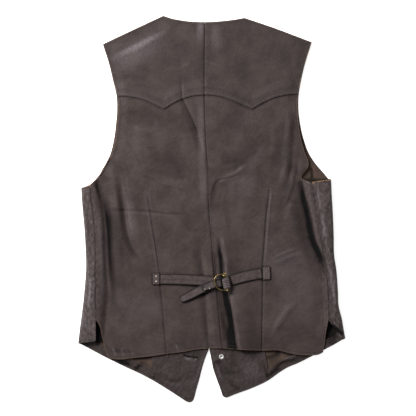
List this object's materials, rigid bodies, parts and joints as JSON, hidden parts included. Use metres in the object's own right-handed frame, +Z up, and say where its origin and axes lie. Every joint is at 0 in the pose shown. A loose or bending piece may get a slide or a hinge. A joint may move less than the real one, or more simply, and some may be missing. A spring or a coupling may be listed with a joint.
{
  "type": "leather vest",
  "caption": "Western leather vest laid face down: pointed back yoke, centre seam, two darts, side folds, waist belt with brass wire buckle, pointed front hems showing below the back.",
  "frame": {"origin": "centre of the bounding box on the plane the vest lies on", "axes": "+X to the right of the back, +Y towards the collar, +Z up from the surface, out of the back"},
  "size_m": [0.5073, 0.7338, 0.0197],
  "materials": {
    "yoke_leather": "dark brown top-grain cowhide, worn satin",
    "body_leather": "dark brown top-grain cowhide, worn satin",
    "facing_leather": "thin dark leather facing, matt",
    "belt_leather": "dark brown leather strap, satin",
    "buckle_brass": "aged brass wire",
    "button_black": "dark brown, glossy",
    "ring_metal": "bright metal ring"
  },
  "bodies": {
    "root": {"back_yoke_left": "yoke_leather", "back_yoke_right": "yoke_leather", "back_panel_left": "body_leather", "back_panel_right": "body_leather", "front_left": "body_leather", "front_right": "body_leather", "facing_left": "facing_leather", "facing_right": "facing_leather", "hem_facing_left": "facing_leather", "hem_facing_right": "facing_leather", "belt_strap_left": "belt_leather", "belt_strap_right": "belt_leather", "belt_tail": "belt_leather", "belt_chape": "belt_leather", "belt_tab_left": "belt_leather", "belt_tab_right": "belt_leather", "belt_bar_loop": "belt_leather", "buckle_frame": "buckle_brass", "buckle_bar": "buckle_brass", "button_1": "button_black", "button_2": "button_black", "button_3": "button_black", "button_4": "button_black", "button_ring_1": "ring_metal", "button_ring_2": "ring_metal", "button_ring_3": "ring_metal", "button_ring_4": "ring_metal"}
  },
  "joints": []
}
